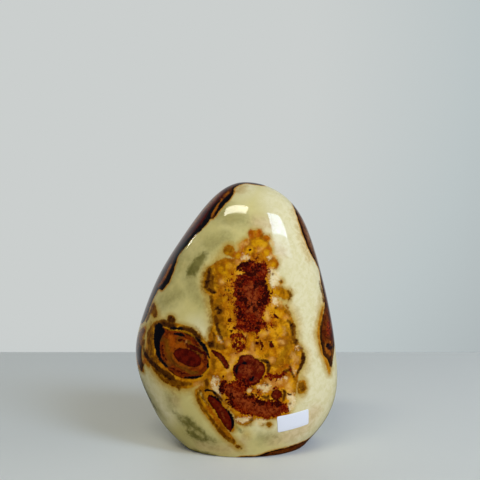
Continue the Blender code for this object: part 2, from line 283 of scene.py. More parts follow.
        (-4.6, 153.8, 0.6, -7, 151.8, 0.7), (-38.6, 111, 0.7, -43.4, 101.4, 1, -45.8, 97.8, 0.8),
        (53.4, 61, 1, 52.6, 63.6, 1, 54, 66, 1, 56, 64.8, 0.8), (54.4, 59.4, 2.4, 55.4, 57.6, 2),
    ),
    "maroon": (
        (-17.4, 142, 1.6, -19.4, 138.6, 2.6, -22, 135.4, 2.6, -24.6, 132, 2, -27, 129, 1),
        (-39.6, 114, 1, -42.4, 108.6, 1.6, -45, 103, 1.4), (-3.5, 82.1, 2.5), (8.1, 121.2, 1.3),
        (0.2, 109.8, 1, 1.6, 111.6, 1.9, 4, 113.3, 2.6, 6.4, 114.2, 2), (-2.3, 76, 1.7),
        (12.3, 72.2, 1.8), (11.8, 69, 1.3), (14, 70.4, 1.3, 15.1, 67.8, 1.6, 14.4, 65.4, 0.8),
        (20.3, 83.1, 1.1), (22, 84.8, 1.2, 23.6, 82.9, 1.5), (19.6, 69.6, 1.8, 20.4, 67.6, 2.2),
        (-34.2, 62.2, 4, -31, 61.4, 8, -27, 60.2, 9.8, -23.6, 59.2, 8),
        (-33, 69.6, 1, -31.6, 70, 1.8, -29.6, 69.6, 1.4),
        (-28.4, 68, 1.2, -26.6, 67, 2.4, -21, 64.8, 1.8, -19.6, 63.6, 1),
        (-19, 63.6, 1.4, -17.6, 63.4, 1.8, -17, 61.4, 1.1, -17.6, 59.6, 0.9),
        (-24, 70.6, 1, -22.4, 68.4, 1.4, -20.4, 66.6, 1),
        (-42.6, 66, 1, -42.2, 61.4, 1.4, -40, 57.6, 1),
        (-37, 53.6, 1, -32, 51.6, 1.6, -27.6, 51, 1),
        (-13.6, 64.6, 1.4, -11.5, 63.6, 2.4, -8.5, 61.4, 3.2, -6.4, 58.6, 3.2, -5, 56, 3),
        (23.3, 39.2, 6.6), (26.6, 42.6, 0.7, 30, 39, 1, 31.6, 38.4, 0.9),
    ),
    "ember": (
        (53.6, 84, 1.4, 53.6, 79, 3.6, 53.6, 74, 5.2, 53.6, 69, 5.2, 54, 65.6, 3),
    ),
    "red": (
        (54.9, 76.4, 1.6, 55, 73, 2.8, 54.9, 70.4, 3), (-3.2, 104.1, 1.5),
        (-2.8, 102.6, 0.9, -1.4, 101.4, 1), (-1.8, 107.8, 1), (-6.8, 96, 0.7, -4.6, 95.9, 0.9),
        (-3.8, 92.9, 1.2, -2.2, 92.7, 1), (-3.7, 77.7, 1.6), (-0.5, 77.8, 1.4),
        (-1.9, 70.8, 2.2, -1.5, 73, 2.6, 0.4, 74.2, 2.8, 2.2, 73.4, 3, 4, 73, 2.8, 4.8, 71.4, 2.2),
        (-1.2, 67.6, 2.2, 0.4, 69.7, 2, 3.2, 69, 2.4), (1.1, 66.2, 2.4, 4.7, 67.2, 2.8),
        (0.8, 65, 1.7, 3.2, 65, 2.2), (0.8, 71.4, 1), (19.5, 79.3, 1.5, 21.3, 78.2, 1.5),
        (17.4, 76.4, 0.8), (-7, 50.5, 1.2),
        (16.4, 49.9, 1.8, 19.5, 50.6, 2.6, 22, 49.8, 3, 25, 49.8, 2.6, 27.4, 50.8, 2.6),
        (19.5, 48.3, 2), (22, 43.3, 2, 23.4, 42.8, 1.2), (22.8, 46.8, 1), (12.7, 41.6, 1.6),
        (11.6, 116.6, 1.2), (20.6, 97.6, 1), (31.2, 53, 1.2),
    ),
    "brick": (
        (8.6, 99.4, 8, 8.8, 95.6, 8), (10, 91.6, 6, 8, 87.6, 5), (12, 86, 3, 13.4, 84, 3),
        (9.8, 108.2, 1.6, 12.4, 107.4, 1.6), (15.4, 109.6, 2.4), (3.4, 54.4, 4, 6.4, 53.6, 7.4),
        (12.4, 55, 4.6, 14, 54, 3.6), (4, 61, 1.8, 8, 60.8, 2.8, 12, 58.4, 1.8), (11.4, 48.6, 3),
        (-5, 43.6, 3.6, 0, 40, 6.4, 4, 36.4, 7.4, 10, 32.4, 6.6, 17, 30, 6.4, 24, 30, 4.6),
        (-13, 36.5, 1.2, -8.4, 30.6, 1.8, -7, 27, 1.8, -4.4, 21.4, 0.8),
        (-9.6, 62, 1.1, -6, 57, 0.9), (23.2, 39, 4.2),
    ),
    "black": (
        (-44.6, 76, 4.4, -45, 73.4, 6, -45.9, 69.5, 4.6, -46, 65.8, 3.7, -44.8, 59.6, 2.2, -43,
         56.9, 2, -41.2, 54.9, 1.9, -39.2, 53.4, 0.6), (-42.5, 74, 2.8),
        (-36.2, 73.3, 0.8, -31.7, 73.1, 1.8, -29.3, 72.4, 1),
        (-37.4, 76, 1, -35, 76.2, 1.8, -31, 76.5, 1.4),
        (-22.8, 71.8, 1, -20, 69, 2, -17.6, 66.4, 2.3, -15, 61, 0.8),
        (-16.4, 59.3, 0.6, -15.8, 55.6, 1.4), (-29.4, 48.9, 0.7, -24, 49.1, 1.7, -19, 50.6, 0.4),
        (-17.6, 41.7, 1, -15.9, 42.2, 1.3, -13.5, 41.7, 1.2, -11.5, 40.4, 0.8),
        (-15.8, 38.9, 0.6, -13, 38.6, 1.2, -10, 36.6, 1.3, -8, 34.6, 0.8),
        (-5.4, 31.4, 0.8, -2.2, 25.6, 1.9, -1.8, 22.8, 1.5, -2, 20.2, 0.8), (17.8, 57.8, 1),
        (2.2, 57.2, 0.8, 0.8, 55.6, 1.2, 0.2, 53.4, 1.2, 0.6, 51.6, 0.7),
        (4.3, 58.1, 1.6, 6, 57.7, 0.9), (7.6, 49.2, 0.8, 9, 48.2, 1.6, 9.8, 49.8, 1.3),
        (-0.5, 77.9, 1), (20.1, 69.9, 1.1),
        (-9.4, 149.4, 0.8, -12.4, 146.2, 1.4, -14.8, 142.6, 2, -16.4, 139.4, 2.4, -18.8, 135.9,
         2.4, -21.6, 132.4, 2.4, -24.6, 129.6, 2.2, -30.6, 122.9, 2.4, -33.4, 119.4, 2.2, -35.2,
         116.6, 1.6, -36.6, 112.6, 1.6, -38.6, 107, 1.8, -40.6, 103, 2, -43.6, 98.8, 2, -45.4,
         97.2, 1), (-3.6, 152.6, 1.4, -8.6, 147, 2.2, -10.4, 144.2, 1.2, -12.4, 141.6, 0.8),
        (-43, 107.4, 1.6, -44.2, 104.6, 1.6), (54.2, 63.6, 2.4), (55.8, 61.6, 1.6, 57.4, 61.4, 1.2),
    ),
    "fleck": (
        (4.4, 47.4, 2), (5.8, 46, 1.8), (6.4, 39.8, 1.6, 9, 39.4, 2.6, 12, 39, 1.8),
        (11.8, 35.6, 2, 14, 35.2, 3.4, 16, 35.4, 1.6),
        (20.5, 34.4, 2.4, 23, 34, 3.2, 25, 33.2, 1.8), (-3, 39.4, 2, -3.2, 36.6, 2.6, -2.6, 34, 2),
        (-8.6, 46, 2.6, -8, 43.4, 3.2, -7, 41.4, 2), (2.2, 111.8, 1.8, 5.4, 113.2, 3, 7, 114, 2),
        (6, 108.6, 2.6, 8.4, 107.6, 2.4), (10.6, 110.2, 2.8, 10.2, 107.8, 1.8),
        (13.4, 112.6, 2.2, 13, 110.6, 1.8), (14.2, 103, 4, 16.6, 102.2, 3.6, 18, 99.6, 2.4),
        (11.6, 101.4, 2.8), (1.6, 102.4, 3.2, 3.4, 103.4, 2.4),
        (17.8, 98.6, 2.4, 17, 95.6, 3.6, 15.6, 92.6, 4.4, 13.6, 90.4, 2.8),
        (1.6, 98.4, 2.6, 2.4, 96.6, 2.8), (4, 93.6, 3.6, 6, 92, 2.8), (8, 90.4, 1.6),
        (10.6, 88.4, 2.6, 13, 88.2, 2), (1.2, 88.6, 1.8, 1.4, 86, 2.2, 1, 84, 1.8), (3.6, 84, 2),
        (12, 78.5, 3.2), (9, 79, 2), (5.6, 81.6, 1.8),
    ),
    "speck": (
        (-4.6, 106, 4, -4.6, 99, 5, -3.6, 92, 3, -3.6, 80, 4),
        (20.6, 86, 4, 21, 79.6, 4, 18, 77, 3), (0, 72, 7, 4, 66, 5), (13, 70, 3, 14.6, 66, 3),
        (9, 43, 4, 15, 40, 5), (20, 49, 5, 28, 51, 5), (3, 27.4, 2, 12, 26.4, 2), (12, 118, 5),
        (20, 105, 3),
    ),
}

# Marks on the sides and the back. Their places are degrees and height: -90 degrees is the front, 0
# the right, -180 the left and 90 the back.
AROUND_MARKS = {
    "pale": (
        (-8, 120, 20, 6, 92, 34, 10, 60, 34, 2, 26, 30), (40, 118, 20, 44, 80, 26, 36, 40, 26),
        (96, 18, 18, 124, 26, 16), (-168, 26, 16),
    ),
    "tan": (
        (60, 24, 10, 84, 26, 12, 110, 16, 10), (146, 52, 10), (24, 70, 8, 30, 56, 8),
    ),
    "haze": (
        (-160, 96, 8, -164, 88, 6), (40, 126, 8, 44, 116, 8), (112, 106, 8, 122, 98, 10),
        (150, 34, 12, 140, 22, 10), (-166, 36, 12, -150, 22, 8), (18, 30, 10, 30, 20, 8),
    ),
    "smudge": (
        (114, 110, 1, 118, 104, 3.4, 124, 97, 3, 126, 91, 1),
        (154, 40, 1, 147, 33, 3.4, 143, 26, 2.4, 145, 20, 0.8),
        (-170, 40, 1, -163, 32, 2.6, -158, 25, 1), (24, 34, 1, 30, 27, 3, 38, 20, 1),
        (74, 132, 1, 84, 128, 2.6, 94, 122, 2, 98, 118, 0.8),
        # This run along the base on the left is painted shade: the dark line where the stone meets
        # the table.
        (-157, 5, 1.6, -153, 2.6, 2.6, -146, 1, 3, -131, 0.4, 3, -115, 0, 2),
    ),
    "stain": (
        (40, 60, 4, 44, 76, 4, 46, 92, 4, 58, 101, 3),
        (112, 52, 4, 108, 38, 4, 92, 27, 5, 70, 26, 4), (104, 84, 4, 96, 92, 4),
        (14, 96, 4, 17, 84, 4, 9, 66, 3), (-176, 70, 5, -180, 58, 5, -176, 46, 4),
    ),
    "ochre": (
        (-157, 73, 4, -163, 64, 13, -162, 55, 12, -155, 48.6, 3), (-150, 57, 4, -146, 53, 3),
        (57, 128, 1.6, 62, 123, 5, 65, 117, 6, 63, 112, 4), (48, 36, 4, 42, 33, 5),
        (120, 30, 5, 124, 26, 4), (106, 92, 4.6), (40, 104, 3.6), (28, 88, 3), (116, 74, 4),
    ),
    "olive": (
        (-155, 68, 3, -157, 62, 4), (98, 78, 4, 102, 70, 5), (60, 34, 4, 52, 44, 4),
        (106, 46, 4, 98, 38, 4), (48, 64, 3), (106, 92, 2.6),
    ),
    "burnt": (
        (54, 54, 4, 50, 62, 3), (80, 94, 4, 88, 90, 4), (104, 62, 4), (-152, 54, 2, -149, 58, 1.6),
    ),
    "salmon": (
        (56, 92, 5, 64, 93, 4), (76, 35, 5, 86, 36, 4), (100, 54, 4), (50, 74, 4), (92, 80, 3),
    ),
    "gold": (
        (60, 40, 4, 56, 46, 3), (100, 66, 5, 98, 74, 3), (54, 82, 4, 58, 88, 3), (94, 46, 3),
        (74, 93, 3), (44, 34, 3),
    ),
    "cream": (
        (70, 33, 3, 64, 35, 2.4), (102, 82, 2.4, 97, 86, 3), (49, 68, 2.4), (86, 96, 2.2),
    ),
    "rims": (
        (54, 96, 0.6, 60, 92, 0.7, 58, 86, 0.7, 51, 84, 0.6),
        (98, 90, 0.6, 102, 84, 0.7, 98, 78, 0.7, 94, 80, 0.5),
        (104, 70, 0.6, 98, 66, 0.7, 101, 60, 0.7, 107, 58, 0.6),
        (50, 78, 0.6, 54, 72, 0.7, 50, 67, 0.6),
        (58, 50, 0.6, 54, 45, 0.7, 60, 40, 0.7, 66, 38, 0.6),
        (76, 40, 0.6, 82, 36, 0.7, 88, 38, 0.6), (98, 50, 0.6, 104, 46, 0.7, 100, 40, 0.6),
    ),
    "brown": (
        (-158, 72, 2.6, -164, 66, 7, -162, 58, 9, -157.5, 52, 5, -157, 48.6, 2.4),
        (-156.6, 84, 2, -157.6, 78, 2), (-19, 63, 1.4, -18, 58.6, 2.4, -23.6, 50.6, 0.8),
        (109, 76, 1, 107, 66, 1.8, 111, 56, 2.4, 110, 46, 1.6),
        (46, 86, 1, 43, 74, 1.6, 47, 60, 1.2), (62, 30, 0.8, 76, 36.6, 1, 88, 32.4, 1.2),
        (61, 126, 0.6, 65, 120, 0.8, 65.4, 115, 0.8), (116, 74, 2.2), (122, 28.6, 2.6),
    ),
    "dark": (
        (-157, 62, 2, -160.6, 57, 7, -157.6, 52.4, 5, -157, 49.4, 2.4),
        (111, 58, 1, 112, 52, 1.4, 110, 47, 0.8), (43, 72, 0.8, 45, 64, 0.8), (-153, 52, 1),
    ),
    "maroon": (
        (-169, 64, 4, -168, 58, 3), (58.6, 126, 0.8, 62.4, 122, 2.8, 64.4, 117, 3, 63, 113, 1.2),
        (72, 64, 8, 80, 62, 9),
    ),
    "russet": (
        (-6, 142, 6, -10, 135, 11, -11, 128, 13, -10, 120.6, 12, -6, 107, 7),
        (-6, 107, 6, -5, 99, 5, -6, 91, 3),
    ),
    "ember": (
        (-68, 2.6, 0.8, -30, 4.6, 1.8, -18, 6, 1.4),
    ),
    "red": (
        (54.6, 77, 1), (56, 62, 1.4, 58.6, 58, 1.8), (66, 42, 1.4, 62, 46, 1),
        (92, 40, 1.6, 96, 42.6, 1), (94, 86, 1.2, 90, 90, 1),
    ),
    "brick": (
        (66, 80, 5, 74, 82, 7, 82, 78, 6), (86, 66, 5, 88, 56, 5, 88, 48, 4),
        (68, 70, 5, 66, 56, 4), (74, 63, 4),
    ),
    "black": (
        (57, 84, 1, 62, 87.6, 2, 70, 89, 1.6), (88, 79, 1.2, 93, 71, 2.4, 95, 64, 1.6),
        (84, 44, 1.4, 78, 49, 2, 72, 47, 1.2), (66.6, 66, 1.4, 70, 69.6, 1.8, 77, 69, 1.2),
        (83, 57, 1.8, 85.6, 62, 1.6, 84, 67, 1), (60, 127, 0.6, 64.8, 121.6, 1.2, 66.6, 116, 1),
        (-164, 66, 1, -158.6, 61, 1.6, -157, 56, 1),
    ),
    "speck": (
        (56, 84, 6, 54, 68, 6, 58, 54, 5), (98, 82, 5, 98, 62, 5, 98, 44, 4),
        (72, 40, 5, 84, 36, 4),
    ),
}

# Orbs on the back: degrees, height, half width in degrees, half height and tilt. The ochre round an
# orb is ORB_RING wide. Its core is a short arc, whose half width is a share of the orb's, and whose
# half height and thickness are shares of the orb's half height.
BACK_ORBS = (
    (132, 62, 14, 9.5, 38),
    (31, 56, 6, 9, -12),
)
ORB_RING = 4
ORB_CORE = (0.3, 0.2, 0.8)

# The bands along an orb's edge: field, the angles from which and to which it runs, how far outside
# the edge it lies, and its width at the start, in the middle and at the end.
ORB_BANDS = (
    ("black", 110, 240, -1.2, (0.6, 3.4, 0.6)),
    ("black", 20, 80, -0.6, (0.6, 1.8, 0.6)),
    ("black", 270, 330, -0.8, (0.5, 1.6, 0.5)),
    ("gold", 0, 360, 0.4, (0.9, 0.9, 0.9)),
    ("brown", 60, 200, 2.6, (0.6, 2.2, 0.8)),
    ("brown", 200, 350, 3.2, (0.8, 2.6, 0.8)),
)

# What makes an orb's ellipse uneven: waves around it, their size and which way tilt turns them.
ORB_WAVES = ((2, 0.07, 1), (3, 0.06, -1))

# Outlines of the larger areas, all clockwise. The ochre patch up the middle of the front, from its
# top.
PATCH = (
    (9, 132.2), (13.4, 132.8), (15.8, 129.6), (18.8, 129), (19.6, 126.8), (18.6, 124.8),
    (20.4, 122.8), (21, 119.8), (19.4, 117.4), (22.4, 116.9), (24.2, 113.4), (22.8, 110.2),
    (20.4, 108.4), (19.4, 105), (20, 101), (21, 98.4),
    (24.2, 94), (24.6, 91.4), (27.5, 89.6), (30.5, 85.5), (32.3, 82), (33.8, 78), (34, 73),
    (34.5, 70.5), (36.4, 67.5), (38.2, 64), (39.4, 60.5), (39.2, 56.5), (37.5, 53), (36, 50),
    (35.5, 46.5), (34.8, 42), (34, 38), (33.5, 34), (31.8, 30), (30.5, 27), (26, 25.8), (21, 24.8),
    (15.5, 24.2), (11.5, 25.2), (8.8, 23.4), (5, 21.6), (1.5, 22.2), (-0.6, 24.6), (-1, 27.5),
    (-3.4, 31), (-5.6, 34), (-8, 38.5), (-10.5, 41.5), (-13, 43.2), (-16, 44), (-18.5, 45.8),
    (-17.5, 50), (-16.5, 55), (-16, 60), (-15.6, 65), (-16, 69), (-15.4, 73), (-14, 77),
    (-13, 81), (-13.8, 86), (-14.8, 90.5), (-14.8, 95), (-18, 98.4), (-18.8, 103), (-17.8, 108),
    (-15.6, 111.6), (-12, 113.8), (-9.5, 115.6), (-6, 116.8), (-1.5, 116),
    (-1, 118.5), (1, 121), (1.4, 124.5), (3.5, 126), (5, 127.6), (7.2, 128.2), (7.4, 130.5),
)

# The dark red mass in it, from its top.
RED_MASS = (
    (8, 115.3), (11, 115), (13, 114.5), (17, 114.8), (17.5, 113), (18.5, 111), (19, 108.5),
    (17.5, 106.5), (17, 104), (18, 101), (18.5, 99), (19.5, 96), (20, 93.5), (19.5, 91.5),
    (17.5, 89.5), (16.5, 87.5), (15.5, 85.5), (15, 84), (16, 82), (17.5, 80), (16.8, 77),
    (15, 76.5), (13, 75), (12, 71.5), (10.5, 75), (7, 74.5), (5, 75), (3, 76), (0.5, 77), (0, 80),
    (0, 84), (-1.4, 87.5), (0, 89), (-1.5, 91), (0, 94), (-2, 96), (-1.5, 98), (-1, 101),
    (-1.5, 103), (0.5, 105.5), (0, 107), (2.5, 107.6), (4.8, 108.8), (1.5, 109.7), (3.5, 113.5),
    (6, 114.7),
)

# The red band that runs down to the right below it, from its left end.
RED_BAND = (
    (-8.8, 48.2), (-6.5, 48.3), (-4, 47.2), (-2, 47.6), (0, 49), (3, 50.5), (6, 50), (9.5, 47),
    (8.5, 45.2), (6.8, 43.8), (6, 41.5), (6.5, 40), (8.5, 40.4), (11, 40.4), (12.4, 38.6),
    (15.5, 36.6), (20, 36.2), (23.5, 36.2), (27, 34.4), (29.5, 33.2), (30.4, 30.6), (29.8, 28.3),
    (26.5, 27.2), (23, 26), (20, 25.4), (17, 25), (14, 26), (11, 27.4), (9, 27.2), (6.5, 28),
    (4, 28), (2, 29.6), (0.2, 31), (-1.4, 31.2), (-2.8, 32.6), (-4.6, 35), (-5.2, 37.8),
    (-6.2, 39.7), (-8, 39.9), (-9.7, 41.6), (-9.8, 44.8),
)

# The small orb between them, from its left shoulder.
SMALL_ORB = (
    (1.6, 60.4), (2.8, 62), (6, 62.8), (9, 62.2), (11.8, 60.2), (14.6, 58.4), (16.3, 56.4),
    (16.8, 53.8), (15.9, 50.8), (14.3, 48.2), (12, 46), (9, 45.4), (5, 46.5), (1, 48.5),
    (-0.9, 50.6), (-1.6, 53), (-1.2, 56), (0.3, 57.8),
)

# The lens below the big orb, from its top left.
LENS = (
    (-16.6, 38.4), (-14.6, 39.6), (-11.6, 38.4), (-9, 36), (-6.8, 33), (-4.6, 30.2), (-2.4, 27.6),
    (-1.4, 24.6), (-1.8, 21), (-2.7, 17.6), (-4.4, 18.4), (-7, 21.6), (-9.6, 25.6), (-12.2, 29.8),
    (-14.6, 33.8), (-16.4, 36.8),
)

# The big orb low on the left: its inside, and the ochre round it, both from the top left.
BIG_ORB = (
    (-44, 76), (-41, 75.8), (-36, 75.2), (-30, 75), (-24, 73), (-19.6, 68.4), (-16.9, 64),
    (-15.2, 59), (-15.8, 55), (-18.8, 51.4), (-24, 48.6), (-30, 48), (-35.6, 49.6), (-39.8, 53),
    (-43.2, 57), (-45.4, 62), (-46.8, 68), (-46.6, 73),
)
BIG_ORB_RING = (
    (-46, 79.2), (-41, 79.8), (-36.8, 79.4), (-31, 78.8), (-26.5, 77.8), (-22.3, 75.6), (-19, 72),
    (-15.5, 69), (-13, 64), (-13, 56), (-15.5, 50), (-19.5, 46), (-25, 43.2), (-31, 41.8),
    (-37, 42.4), (-42.5, 44.8), (-47.5, 49.4), (-51.5, 55), (-53.4, 61), (-53, 67), (-51.5, 73),
    (-49, 77.4),
)

# Outlines by (degrees, height). The rind on the left runs from the apex down in front and comes up
# again behind. The one on the right starts at its top, and the one along the base at its left end.
RIND_LEFT = (
    (-20, 158.2), (-38, 157.9), (-60, 158.5), (-92, 159.2), (-118, 158.4), (-125, 157.2),
    (-124, 155.6), (-119.5, 153), (-122, 149.6), (-124.5, 147.6), (-127, 145), (-129.5, 141),
    (-132.5, 138.6),
    (-135, 138.5), (-136, 135.5), (-141, 131), (-147, 125.6), (-150, 119.8), (-150.5, 116.5),
    (-147.5, 111.5), (-145, 105.5), (-146, 100.5), (-148.5, 97.5), (-152, 96.4), (-156.5, 96.4),
    (-158.5, 92), (-159.5, 87), (-159.5, 81), (-161.5, 77.5), (-166, 75), (-173, 76), (-180, 84),
    (-186, 94), (-184, 104), (-192, 112), (-203, 119), (-212, 128), (-225, 136), (-243, 142),
    (-262, 147), (-285, 152), (-310, 155), (-335, 157.6), (-365, 158.2), (-380, 158.2),
    (-380, 160.6), (-220, 160.6), (-20, 160.6),
)
RIND_RIGHT = (
    (-6, 148), (-20, 144), (-26.5, 139.5), (-28.5, 135), (-29.5, 130), (-28.5, 124.5), (-26.5, 120),
    (-23, 115.8), (-18.5, 112), (-14.5, 107), (-18, 101), (-18.5, 93), (-20, 88), (-23, 83.5),
    (-28, 80), (-31.5, 76), (-33.5, 72), (-34, 68), (-33, 62), (-33.5, 60), (-32, 58),
    (-28.5, 56), (-27, 53.5), (-25.5, 51), (-23.5, 52), (-21, 55.5), (-17.5, 57.5), (-13, 60.5),
    (-8, 64), (-2, 68), (5, 72), (12, 76), (20, 82), (12, 90), (16, 100), (26, 108), (30, 118),
    (24, 128), (16, 138), (6, 145),
)
RIND_BASE = (
    (-93, 0.3), (-80, 0.9), (-70, 3.4), (-62, 4.6), (-54, 4.8), (-46, 5.4), (-37, 6), (-29, 6.4),
    (-22, 7.4), (-14, 9.6), (-4, 10.6), (12, 8), (26, 3), (30, -1), (30, -8), (-30, -8), (-93, -8),
)

# The ochre patch on the back, and the red mass in it.
BACK_PATCH = (
    (46, 97), (53, 103), (60, 101), (68, 107), (77, 103), (83, 96), (94, 95), (101, 87), (104, 78),
    (99, 70), (103, 60), (112, 53), (110, 44), (100, 42), (96, 34), (84, 31), (72, 35), (62, 29),
    (54, 34), (57, 44), (49, 52), (46, 62), (41, 70), (44, 80), (51, 87),
)
BACK_RED = (
    (57, 92), (65, 97), (74, 94), (80, 88), (88, 84), (91, 76), (86, 69), (88, 61), (96, 55),
    (98, 49), (91, 45), (84, 48), (77, 43), (69, 46), (68, 54), (72, 60), (66, 66), (60, 71),
    (57, 79), (60, 86),
)

FRONT_AREAS = {
    "ochre": (PATCH, BIG_ORB_RING),
    "umber": (BIG_ORB,),
    "maroon": (SMALL_ORB, LENS),
    "red": (RED_MASS, RED_BAND),
}
AROUND_AREAS = {
    "ochre": (BACK_PATCH,),
    "red": (BACK_RED,),
    "rind": (RIND_LEFT, RIND_RIGHT, RIND_BASE),
}


def spline(knots, values):
    """A natural cubic spline through the points, as a function of an array."""
    x = np.array(knots, float)
    y = np.array(values, float)
    step = np.diff(x)
    rows = len(x)
    matrix = np.eye(rows)
    right = np.zeros(rows)
    for i in range(1, rows - 1):
        matrix[i, i - 1 : i + 2] = step[i - 1], 2 * (step[i - 1] + step[i]), step[i]
        right[i] = 6 * ((y[i + 1] - y[i]) / step[i] - (y[i] - y[i - 1]) / step[i - 1])
    bend = np.linalg.solve(matrix, right)

    def value(at):
        at = np.asarray(at, float)
        i = np.clip(np.searchsorted(x, at) - 1, 0, rows - 2)
        along = at - x[i]
        slope = (y[i + 1] - y[i]) / step[i] - step[i] * (2 * bend[i] + bend[i + 1]) / 6
        cubic = (bend[i + 1] - bend[i]) / (6 * step[i])
        return y[i] + slope * along + bend[i] / 2 * along**2 + cubic * along**3

    return value


LOWEST = SECTIONS[0][0]


def climb(height):
    """0 at the lowest section and 1 at the apex, near which heights grow slowly, for a round top."""
    height = np.clip(height, LOWEST, HEIGHT)
    return 1 - np.sqrt((HEIGHT - height) / (HEIGHT - LOWEST))


def height_at(climbed):
    return LOWEST + (HEIGHT - LOWEST) * (1 - (1 - climbed) ** 2)


KNOTS = climb([section[0] for section in SECTIONS])
REACH = [spline(KNOTS, [section[side] for section in SECTIONS]) for side in (1, 2, 3, 4)]


def surface(climbed, turn, inwards=1.0):
    """Surface points in mm at these climbs and angles from above (-90 degrees is the front)."""
    left, right, front, back = [reach(climbed) for reach in REACH]
    across = np.cos(turn)
    deep = np.sin(turn)
    radius = (np.abs(across) ** SQUARENESS + np.abs(deep) ** SQUARENESS) ** (-1 / SQUARENESS)
    for around, up, depth, start in SWELLS:
        wave = np.sin(around * turn + start) * np.sin(2 * math.pi * up * climbed)
        radius = radius * (1 + depth * wave)
    x = (right - left) / 2 + inwards * (left + right) / 2 * radius * across
    y = (back - front) / 2 + inwards * (front + back) / 2 * radius * deep
    height = height_at(climbed)
    # A parabola rounds the lower edge, from RIM below the ground level to RIM above it.
    dip = np.maximum(RIM - np.abs(height), 0) / RIM
    z = np.maximum(height, 0) + RIM / 4 * dip**2
    return np.stack(np.broadcast_arrays(x, y, z), -1)


def smooth(points, closed=False, cuts=4):
    """A Catmull-Rom curve through the points. Each may carry more numbers, such as a width."""
    points = np.array(points, float)
    if closed:
        padded = np.vstack((points[-1:], points, points[:2]))
    else:
        padded = np.vstack((2 * points[0] - points[1], points, 2 * points[-1] - points[-2]))
    t = np.linspace(0, 1, cuts, endpoint=False)[:, None]
    runs = []
    for a, b, c, d in zip(padded, padded[1:], padded[2:], padded[3:]):
        runs.append(
            b
            + (c - a) / 2 * t
            + (a - 2.5 * b + 2 * c - d / 2) * t**2
            + (1.5 * (b - c) + (d - a) / 2) * t**3
        )
    line = np.vstack(runs)
    return line if closed else np.vstack((line, points[-1:]))


class Chart:
    """The fine surface's points by the two numbers that place a mark, and distances to marks.

    Distances are measured in space, where lay puts the places of a mark. Marks change no points
    but the reached ones, and turns says that the first number is an angle.
    """

    def __init__(self, places, space, reached, lay, turns):
        self.places = places
        self.space = space
        self.reached = reached
        self.lay = lay
        self.turns = turns

    def near(self, route, margin):
        low = route.min(0) - margin
        high = route.max(0) + margin
        return ((self.space > low) & (self.space < high)).all(1) & self.reached

    def gap(self, points, route, widths):
        """How far the points are from a line that is as wide as the widths along it."""
        best = np.full(len(points), FAR)
        for a, b, wide, wider in zip(route, route[1:], widths, widths[1:]):
            run = b - a
            t = np.clip((points - a) @ run / max(run @ run, TINY), 0, 1)
            apart = np.linalg.norm(points - a - t[:, None] * run, axis=1)
            best = np.minimum(best, apart - (wide + (wider - wide) * t) / 2)
        return best

    def mark(self, field, run):
        """Brings a mark into the field of distances, from its run of points."""
        run = np.reshape(run, (-1, 3))
        line = smooth(run) if len(run) > 1 else np.tile(run, (2, 1))
        route = self.lay(line[:, :2])
        near = self.near(route, line[:, 2].max() / 2 + MARGIN)
        field[near] = np.minimum(field[near], self.gap(self.space[near], route, line[:, 2]))

    def area(self, field, outline):
        """Brings a closed outline into the field, with distances below 0 inside it."""
        rim = smooth(outline, closed=True)
        rim = np.vstack((rim, rim[:1]))
        route = self.lay(rim)
        near = self.near(route, MARGIN)
        gap = self.gap(self.space[near], route, np.zeros(len(route)))
        u, v = self.places[near].T
        if self.turns:
            middle = (rim[:, 0].min() + rim[:, 0].max()) / 2
            u = (u - middle + 180) % 360 - 180 + middle
        inside = np.zeros(len(u), bool)
        for a, b in zip(rim, rim[1:]):
            if a[1] != b[1]:
                crossing = a[0] + (v - a[1]) / (b[1] - a[1]) * (b[0] - a[0])
                inside ^= ((a[1] > v) != (b[1] > v)) & (u < crossing)
        field[near] = np.minimum(field[near], np.where(inside, -gap, gap))


def arc(place, wide, high, tilt, start, end, steps=9):
    """Places along an uneven ellipse, from one angle to the other, as degrees and heights."""
    angle = np.radians(np.linspace(start, end, steps))
    turn = math.radians(tilt)
    uneven = 1 + sum(size * np.cos(waves * angle + way * turn) for waves, size, way in ORB_WAVES)
    along = wide * uneven * np.cos(angle)
    over = high * uneven * np.sin(angle)
    us = place[0] + along * math.cos(turn) - over * math.sin(turn)
    vs = place[1] + along * math.sin(turn) + over * math.cos(turn)
    return np.column_stack((us, vs))


def back_orb_marks():
    """The runs and areas of the back's orbs, by field."""
    runs = defaultdict(list)
    areas = defaultdict(list)
    core_wide, core_high, thick = ORB_CORE
    for turn, height, wide, high, tilt in BACK_ORBS:
        place = (turn, height)
        for name, out in (("ochre", ORB_RING), ("umber", 0)):
            areas[name].append(arc(place, wide + out, high + out, tilt, 360, 0, 17)[:-1])
        for name, start, end, out, widths in ORB_BANDS:
            route = arc(place, wide + out, high + out, tilt, start, end)
            width = np.interp(np.linspace(0, 2, len(route)), (0, 1, 2), widths)
            runs[name].append(np.column_stack((route, width)))
        core = arc(place, wide * core_wide, high * core_high, tilt, 180, 0, 3)
        runs["maroon"].append(np.column_stack((core, np.full(len(core), high * thick))))
    return runs, areas


def marking_fields(points, turns, heights):
    """Every field of distances, in mm over the fine surface's points: below 0 is inside a mark."""
    flat = points[:, (0, 2)]
    front = Chart(flat, flat, points[:, 1] < 0, lambda places: places, False)
    around = Chart(
        np.column_stack((turns, heights)),
        points,
        np.ones(len(points), bool),
        lambda places: surface(climb(places[:, 1]), np.radians(places[:, 0])),
        True,
    )
    sources = (
        (front, FRONT_MARKS, FRONT_AREAS),
        (around, AROUND_MARKS, AROUND_AREAS),
        (around, *back_orb_marks()),
    )
    fields = {}
    for name in sorted({*FRONT_MARKS, *FRONT_AREAS, *AROUND_MARKS, *AROUND_AREAS}):
        fields[name] = np.full(len(points), FAR)
        for chart, runs, outlines in sources:
            for run in runs.get(name, ()):
                chart.mark(fields[name], run)
            for outline in outlines.get(name, ()):
                chart.area(fields[name], outline)
    return fields


